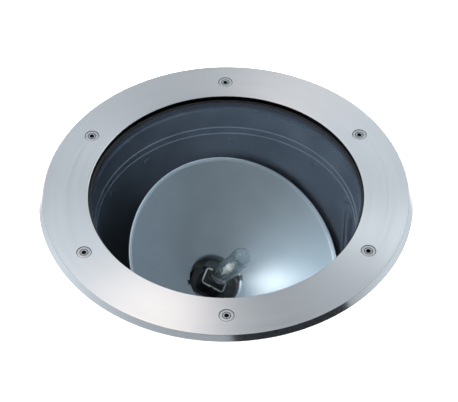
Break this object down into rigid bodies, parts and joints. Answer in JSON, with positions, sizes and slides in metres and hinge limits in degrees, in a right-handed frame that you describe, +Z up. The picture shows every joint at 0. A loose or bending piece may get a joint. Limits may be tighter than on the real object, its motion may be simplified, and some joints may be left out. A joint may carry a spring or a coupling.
{
  "type": "in ground well light",
  "caption": "Recessed ground uplight: steel trim ring and thick glass on a cast pot, with a panning and tilting bowl reflector, a plug-in discharge lamp and its control gear.",
  "frame": {"origin": "centre of the base, on the surface the pot stands on", "axes": "+Z up through the middle of the glass, +X out of the open cable gland; the beam leans towards +X -Y"},
  "size_m": [0.34, 0.34, 0.3],
  "materials": {
    "brushed_stainless": "satin, brushed in circles",
    "stainless_screws": "turned",
    "toughened_glass": "clear, ground edge",
    "black_silicone": "matt",
    "painted_casting": "fine powder coat, dark blue grey",
    "black_polyamide": "moulded",
    "galvanised_sheet": "zinc coated sheet",
    "zinc_fasteners": "bright zinc",
    "spun_aluminium": "satin anodised",
    "cast_aluminium": "as cast",
    "grey_ceramic": "unglazed",
    "lamp_ceramic": "unglazed",
    "quartz": "clear",
    "arc_ceramic": "translucent",
    "lamp_metal": "nickel",
    "ballast_iron": "laminated, varnished",
    "coil_wrap": "taped winding",
    "can_aluminium": "drawn can",
    "white_thermoplastic": "moulded",
    "natural_nylon": "moulded",
    "brass_earth": "turned"
  },
  "bodies": {
    "pot": {"gland_seal_right": "black_silicone", "gland_seal_left": "black_silicone", "housing_floor": "painted_casting", "housing_pillars": "painted_casting", "housing_gear_right": "painted_casting", "housing_gear_left": "painted_casting", "housing_gear_back": "painted_casting", "housing_gear_front": "painted_casting", "housing_wall_back_right": "painted_casting", "housing_wall_back_left": "painted_casting", "housing_wall_front_left": "painted_casting", "housing_wall_front_right": "painted_casting", "housing_flange_back_right": "painted_casting", "housing_flange_back_left": "painted_casting", "housing_flange_front_left": "painted_casting", "housing_flange_front_right": "painted_casting", "gland_body_right": "black_polyamide", "gland_body_left": "black_polyamide", "gland_locknut_right": "black_polyamide", "gland_locknut_left": "black_polyamide", "gland_nut_right": "black_polyamide", "gland_nut_left": "black_polyamide", "gland_plug": "black_polyamide", "shelf": "galvanised_sheet", "gear_tray": "galvanised_sheet", "capacitor_clip": "galvanised_sheet", "shelf_screws": "zinc_fasteners", "pan_bolt": "zinc_fasteners", "pan_nut": "zinc_fasteners", "tray_screws": "zinc_fasteners", "ballast_bolts": "zinc_fasteners", "ignitor_nut": "zinc_fasteners", "ballast_core": "ballast_iron", "ballast_coil": "coil_wrap", "capacitor": "can_aluminium", "ignitor": "white_thermoplastic", "terminal_block": "white_thermoplastic", "pan_washer": "natural_nylon", "earth_stud": "brass_earth", "earth_nut": "brass_earth"},
    "turntable": {"yoke": "galvanised_sheet", "pan_lock_screw": "zinc_fasteners"},
    "optic": {"reflector": "spun_aluminium", "reflector_collar": "cast_aluminium", "trunnion_pads": "cast_aluminium", "tilt_bolts": "zinc_fasteners", "tilt_washers": "natural_nylon", "lampholder_bracket": "galvanised_sheet", "bracket_screws": "zinc_fasteners", "lampholder": "grey_ceramic", "lampholder_screws": "zinc_fasteners"},
    "lamp": {"lamp_envelope": "quartz", "lamp_base": "lamp_ceramic", "lamp_pins": "lamp_metal", "arc_tube": "arc_ceramic", "lamp_leads": "lamp_metal"},
    "cover": {"trim_ring": "brushed_stainless", "trim_screws": "stainless_screws", "glass": "toughened_glass", "glass_gasket": "black_silicone"}
  },
  "joints": [
    {"name": "optic_pan", "type": "hinge", "parent": "pot", "child": "turntable", "pos_m": [0, 0, 0.09], "axis": [0, 0, 1], "range_deg": [-175, 175]},
    {"name": "optic_tilt", "type": "hinge", "parent": "turntable", "child": "optic", "pos_m": [0, 0, 0.1847], "axis": [0.7071, 0.7071, 0], "range_deg": [-30, 0]},
    {"name": "lamp_pull", "type": "slide", "parent": "optic", "child": "lamp", "axis": [0.3536, -0.3536, 0.866], "range_m": [0, 0.04]},
    {"name": "cover_lift", "type": "slide", "parent": "pot", "child": "cover", "axis": [0, 0, 1], "range_m": [0, 0.08]}
  ]
}
